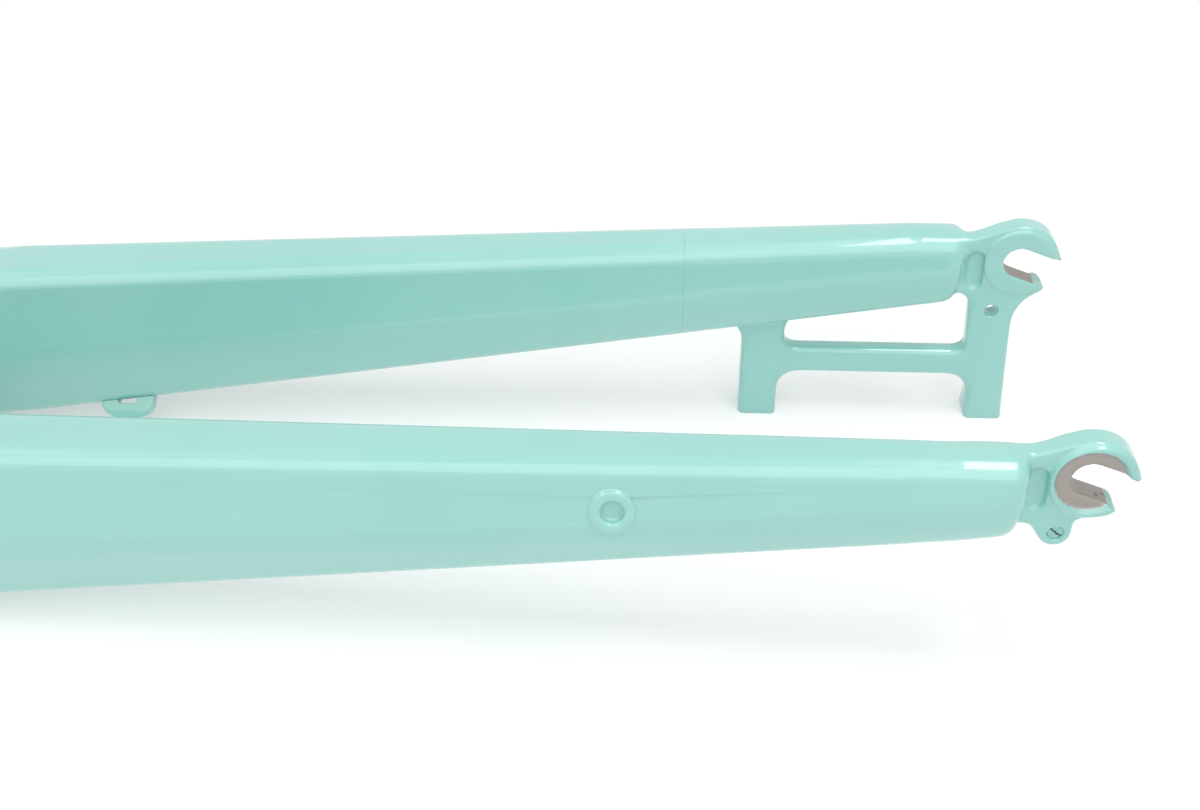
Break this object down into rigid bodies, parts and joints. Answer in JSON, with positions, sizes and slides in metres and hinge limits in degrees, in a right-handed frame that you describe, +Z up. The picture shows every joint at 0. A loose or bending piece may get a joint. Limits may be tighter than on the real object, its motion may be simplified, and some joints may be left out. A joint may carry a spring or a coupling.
{
  "type": "bicycle fork",
  "caption": "Rigid bicycle fork with a plain steerer tube, tapered faceted blades, slotted axle dropouts and a post mount for a disc brake caliper on the left.",
  "frame": {"origin": "on the floor, under the middle of the fork's bounding box, as it lies on its rear side", "axes": "+X along the fork from the steerer to the dropouts, +Y to the disc brake side, which is the rider's left, +Z up, the way the fork's front faces"},
  "size_m": [0.6356, 0.133, 0.0713],
  "materials": {
    "paint": "gloss mint paint",
    "bare_alloy": "satin"
  },
  "bodies": {
    "root": {"steerer_tube": "bare_alloy", "crown": "paint", "left_blade": "paint", "right_blade": "paint", "left_dropout": "paint", "right_dropout": "paint", "left_blade_boss": "paint", "right_blade_boss": "paint", "hose_guide": "paint"}
  },
  "joints": []
}
